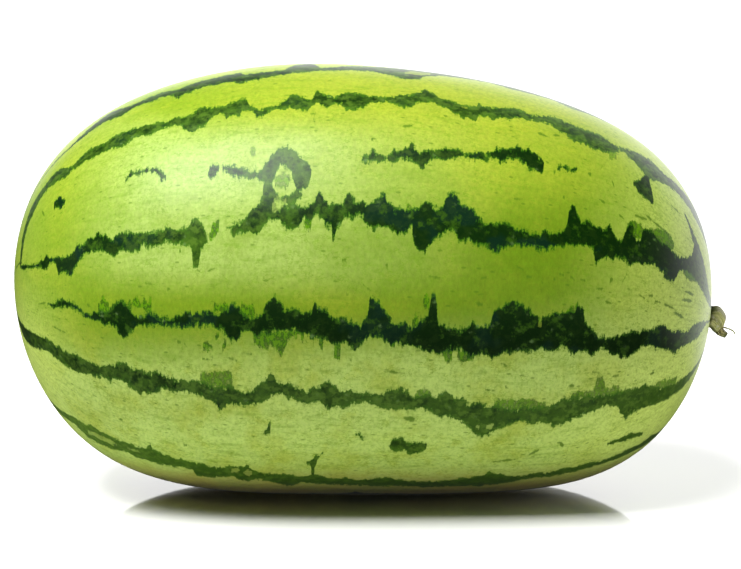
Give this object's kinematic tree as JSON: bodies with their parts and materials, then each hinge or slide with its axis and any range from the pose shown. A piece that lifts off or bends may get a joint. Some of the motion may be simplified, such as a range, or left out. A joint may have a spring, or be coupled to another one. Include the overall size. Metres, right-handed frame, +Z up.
{
  "type": "watermelon",
  "caption": "Whole oblong watermelon lying on its side, green with dark jagged stripes, with a short dried stub of its stalk at one end.",
  "frame": {"origin": "middle of the small flat spot that the fruit rests on", "axes": "+X along the fruit from its blossom end to its stem end, +Z up from the surface it rests on, -Y towards the side that is seen"},
  "size_m": [0.3946, 0.2348, 0.2333],
  "materials": {
    "rind": "smooth waxy light-green rind with dark green jagged stripes, satin gloss",
    "dry_stalk": "dry shrivelled olive-brown stalk, matt"
  },
  "bodies": {
    "root": {"melon": "rind", "stem": "dry_stalk"}
  },
  "joints": []
}
